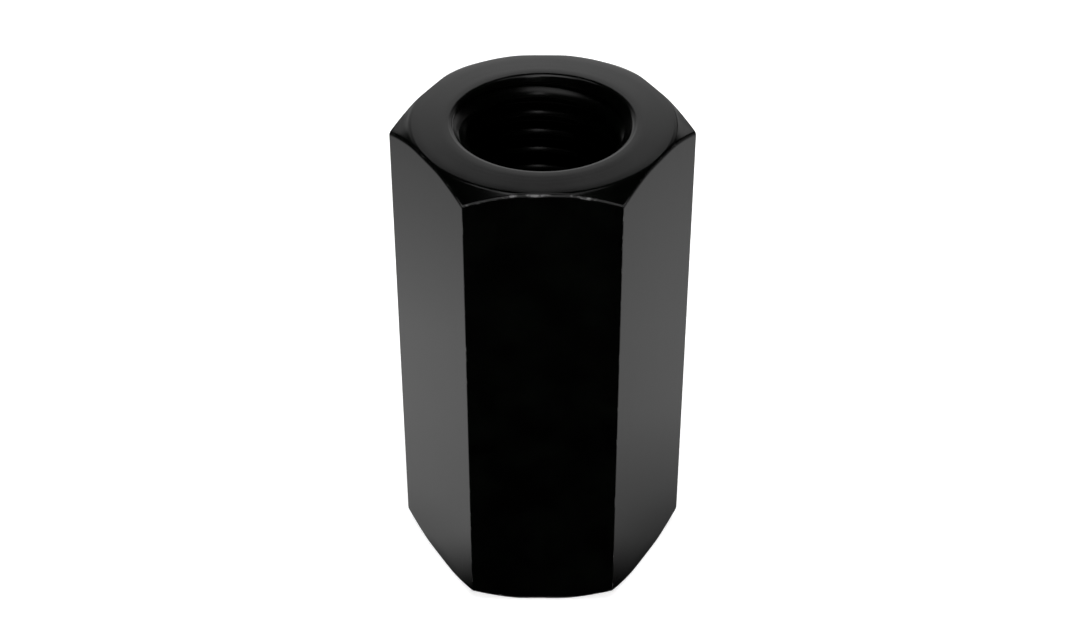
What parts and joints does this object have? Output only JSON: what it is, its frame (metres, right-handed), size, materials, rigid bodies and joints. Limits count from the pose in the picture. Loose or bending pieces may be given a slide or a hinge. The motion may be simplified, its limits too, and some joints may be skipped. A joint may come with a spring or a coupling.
{
  "type": "coupling nut",
  "caption": "Long hexagon nut, threaded right through, that joins two threaded rods or studs end to end; both ends are chamfered and countersunk.",
  "frame": {"origin": "centre of the lower end face, on the thread's axis", "axes": "+Z along the thread's axis, up; +X and -X point at two opposite corners of the hexagon; -Y and +Y face two opposite flats"},
  "size_m": [0.0276, 0.024, 0.048],
  "materials": {
    "black_oxide_steel": "satin black oxide, smooth drawn flats and turned end faces"
  },
  "bodies": {
    "root": {"coupling_nut": "black_oxide_steel"}
  },
  "joints": []
}
